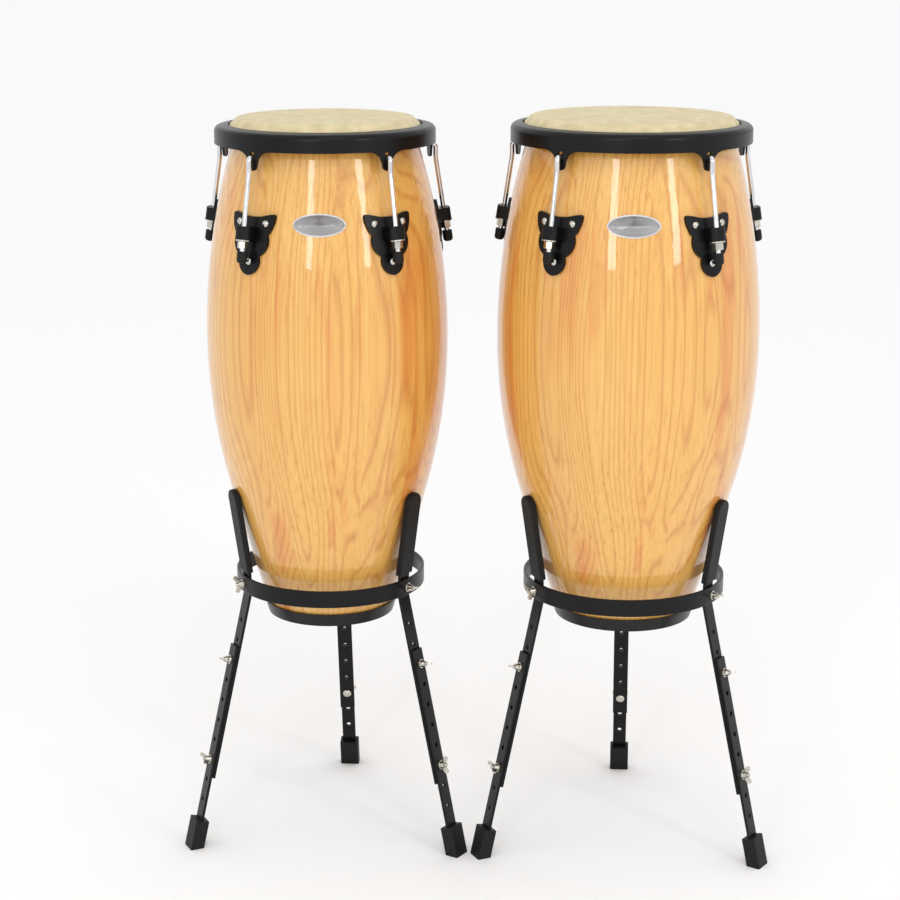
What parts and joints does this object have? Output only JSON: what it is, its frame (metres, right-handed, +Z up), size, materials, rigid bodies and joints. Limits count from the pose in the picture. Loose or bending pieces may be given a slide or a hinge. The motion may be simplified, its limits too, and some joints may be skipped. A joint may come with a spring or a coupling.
{
  "type": "pair of conga drums",
  "caption": "Two barrel-shaped hand drums with rawhide heads tuned by hooks and nuts, each standing in a three-legged steel basket stand of adjustable height.",
  "frame": {"origin": "On the floor, at the middle of the pair's overall footprint.", "axes": "+X goes across the pair from the quinto to the conga, -Y faces the listener, +Z is up."},
  "size_m": [0.8382, 0.4388, 1.0495],
  "materials": {
    "lacquered_wood": "high gloss clear lacquer over honey-coloured hardwood staves",
    "black_rubber_trim": "semi-gloss black moulded trim",
    "rawhide": "satin scraped rawhide",
    "plain_steel": "plain drawn steel",
    "black_powder_coat": "satin black powder coat on steel",
    "nickel": "nickel plate",
    "chrome": "bright chrome plate",
    "rubber": "matt moulded black rubber",
    "brushed_badge": "brushed aluminium"
  },
  "bodies": {
    "stands": {"quinto_stand_ring": "black_powder_coat", "quinto_arm_bars": "black_powder_coat", "quinto_arm_sleeves": "rubber", "quinto_wing_bolts": "nickel", "conga_stand_ring": "black_powder_coat", "conga_arm_bars": "black_powder_coat", "conga_arm_sleeves": "rubber", "conga_wing_bolts": "nickel"},
    "quinto_drum": {"quinto_shell": "lacquered_wood", "quinto_base_trim": "black_rubber_trim", "quinto_head_skin": "rawhide", "quinto_flesh_hoop": "plain_steel", "quinto_lug_plates": "black_powder_coat", "quinto_plate_bolts": "nickel", "quinto_backing_plates": "plain_steel", "quinto_lug_washers": "nickel", "quinto_badge": "brushed_badge"},
    "quinto_rim_and_hooks": {"quinto_rim": "black_powder_coat", "quinto_tension_hooks": "chrome", "quinto_rod_caps": "rubber"},
    "quinto_nut_1": {"quinto_lug_nut_1": "nickel"},
    "quinto_nut_2": {"quinto_lug_nut_2": "nickel"},
    "quinto_nut_3": {"quinto_lug_nut_3": "nickel"},
    "quinto_nut_4": {"quinto_lug_nut_4": "nickel"},
    "quinto_nut_5": {"quinto_lug_nut_5": "nickel"},
    "quinto_leg_left": {"quinto_leg_left": "black_powder_coat", "quinto_boot_left": "rubber", "quinto_leg_bolt_left": "nickel"},
    "quinto_leg_right": {"quinto_leg_right": "black_powder_coat", "quinto_boot_right": "rubber", "quinto_leg_bolt_right": "nickel"},
    "quinto_leg_rear": {"quinto_leg_rear": "black_powder_coat", "quinto_boot_rear": "rubber", "quinto_leg_bolt_rear": "nickel"},
    "conga_drum": {"conga_shell": "lacquered_wood", "conga_base_trim": "black_rubber_trim", "conga_head_skin": "rawhide", "conga_flesh_hoop": "plain_steel", "conga_lug_plates": "black_powder_coat", "conga_plate_bolts": "nickel", "conga_backing_plates": "plain_steel", "conga_lug_washers": "nickel", "conga_badge": "brushed_badge"},
    "conga_rim_and_hooks": {"conga_rim": "black_powder_coat", "conga_tension_hooks": "chrome", "conga_rod_caps": "rubber"},
    "conga_nut_1": {"conga_lug_nut_1": "nickel"},
    "conga_nut_2": {"conga_lug_nut_2": "nickel"},
    "conga_nut_3": {"conga_lug_nut_3": "nickel"},
    "conga_nut_4": {"conga_lug_nut_4": "nickel"},
    "conga_nut_5": {"conga_lug_nut_5": "nickel"},
    "conga_leg_left": {"conga_leg_left": "black_powder_coat", "conga_boot_left": "rubber", "conga_leg_bolt_left": "nickel"},
    "conga_leg_right": {"conga_leg_right": "black_powder_coat", "conga_boot_right": "rubber", "conga_leg_bolt_right": "nickel"},
    "conga_leg_rear": {"conga_leg_rear": "black_powder_coat", "conga_boot_rear": "rubber", "conga_leg_bolt_rear": "nickel"}
  },
  "joints": [
    {"name": "quinto_drum_lift", "type": "slide", "parent": "stands", "child": "quinto_drum", "axis": [0, 0, 1], "range_m": [0, 0.25]},
    {"name": "quinto_rim_lift", "type": "slide", "parent": "quinto_drum", "child": "quinto_rim_and_hooks", "axis": [0, 0, 1], "range_m": [0, 0.003]},
    {"name": "quinto_nut_1_turn", "type": "hinge", "parent": "quinto_drum", "child": "quinto_nut_1", "pos_m": [-0.10378, -0.15224, 0.88665], "axis": [0.0931, -0.1258, -0.9877], "continuous": true},
    {"name": "quinto_nut_2_turn", "type": "hinge", "parent": "quinto_drum", "child": "quinto_nut_2", "pos_m": [-0.04164, 0.04484, 0.88665], "axis": [0.1484, 0.0496, -0.9877], "continuous": true},
    {"name": "quinto_nut_3_turn", "type": "hinge", "parent": "quinto_drum", "child": "quinto_nut_3", "pos_m": [-0.20987, 0.16484, 0.88665], "axis": [-0.0014, 0.1564, -0.9877], "continuous": true},
    {"name": "quinto_nut_4_turn", "type": "hinge", "parent": "quinto_drum", "child": "quinto_nut_4", "pos_m": [-0.37599, 0.04192, 0.88665], "axis": [-0.1492, 0.047, -0.9877], "continuous": true},
    {"name": "quinto_nut_5_turn", "type": "hinge", "parent": "quinto_drum", "child": "quinto_nut_5", "pos_m": [-0.31042, -0.15404, 0.88665], "axis": [-0.0908, -0.1274, -0.9877], "continuous": true},
    {"name": "quinto_leg_left_length", "type": "slide", "parent": "stands", "child": "quinto_leg_left", "axis": [-0.2021, -0.1025, -0.974], "range_m": [-0.06, 0.12]},
    {"name": "quinto_leg_right_length", "type": "slide", "parent": "stands", "child": "quinto_leg_right", "axis": [0.1899, -0.1238, -0.974], "range_m": [-0.06, 0.12]},
    {"name": "quinto_leg_rear_length", "type": "slide", "parent": "stands", "child": "quinto_leg_rear", "axis": [0.0123, 0.2263, -0.974], "range_m": [-0.06, 0.12]},
    {"name": "conga_drum_lift", "type": "slide", "parent": "stands", "child": "conga_drum", "axis": [0, 0, 1], "range_m": [0, 0.25]},
    {"name": "conga_rim_lift", "type": "slide", "parent": "conga_drum", "child": "conga_rim_and_hooks", "axis": [0, 0, 1], "range_m": [0, 0.003]},
    {"name": "conga_nut_1_turn", "type": "hinge", "parent": "conga_drum", "child": "conga_nut_1", "pos_m": [0.31975, -0.19223, 0.89165], "axis": [0.0875, -0.1297, -0.9877], "continuous": true},
    {"name": "conga_nut_2_turn", "type": "hinge", "parent": "conga_drum", "child": "conga_nut_2", "pos_m": [0.39545, 0.01576, 0.89165], "axis": [0.1504, 0.0431, -0.9877], "continuous": true},
    {"name": "conga_nut_3_turn", "type": "hinge", "parent": "conga_drum", "child": "conga_nut_3", "pos_m": [0.22103, 0.15203, 0.89165], "axis": [0.0055, 0.1563, -0.9877], "continuous": true},
    {"name": "conga_nut_4_turn", "type": "hinge", "parent": "conga_drum", "child": "conga_nut_4", "pos_m": [0.03753, 0.02826, 0.89165], "axis": [-0.147, 0.0535, -0.9877], "continuous": true},
    {"name": "conga_nut_5_turn", "type": "hinge", "parent": "conga_drum", "child": "conga_nut_5", "pos_m": [0.09854, -0.1845, 0.89165], "axis": [-0.0963, -0.1233, -0.9877], "continuous": true},
    {"name": "conga_leg_left_length", "type": "slide", "parent": "stands", "child": "conga_leg_left", "axis": [0.2034, 0.1001, 0.974], "range_m": [-0.12, 0.06]},
    {"name": "conga_leg_right_length", "type": "slide", "parent": "stands", "child": "conga_leg_right", "axis": [-0.1883, 0.1261, 0.974], "range_m": [-0.12, 0.06]},
    {"name": "conga_leg_rear_length", "type": "slide", "parent": "stands", "child": "conga_leg_rear", "axis": [-0.015, -0.2262, 0.974], "range_m": [-0.12, 0.06]}
  ],
  "couplings": [
    {"joint": "quinto_nut_1_turn", "follows": "quinto_rim_lift", "rad_per_m": 6283.2},
    {"joint": "quinto_nut_2_turn", "follows": "quinto_rim_lift", "rad_per_m": 6283.2},
    {"joint": "quinto_nut_3_turn", "follows": "quinto_rim_lift", "rad_per_m": 6283.2},
    {"joint": "quinto_nut_4_turn", "follows": "quinto_rim_lift", "rad_per_m": 6283.2},
    {"joint": "quinto_nut_5_turn", "follows": "quinto_rim_lift", "rad_per_m": 6283.2},
    {"joint": "conga_nut_1_turn", "follows": "conga_rim_lift", "rad_per_m": 6283.2},
    {"joint": "conga_nut_2_turn", "follows": "conga_rim_lift", "rad_per_m": 6283.2},
    {"joint": "conga_nut_3_turn", "follows": "conga_rim_lift", "rad_per_m": 6283.2},
    {"joint": "conga_nut_4_turn", "follows": "conga_rim_lift", "rad_per_m": 6283.2},
    {"joint": "conga_nut_5_turn", "follows": "conga_rim_lift", "rad_per_m": 6283.2}
  ]
}
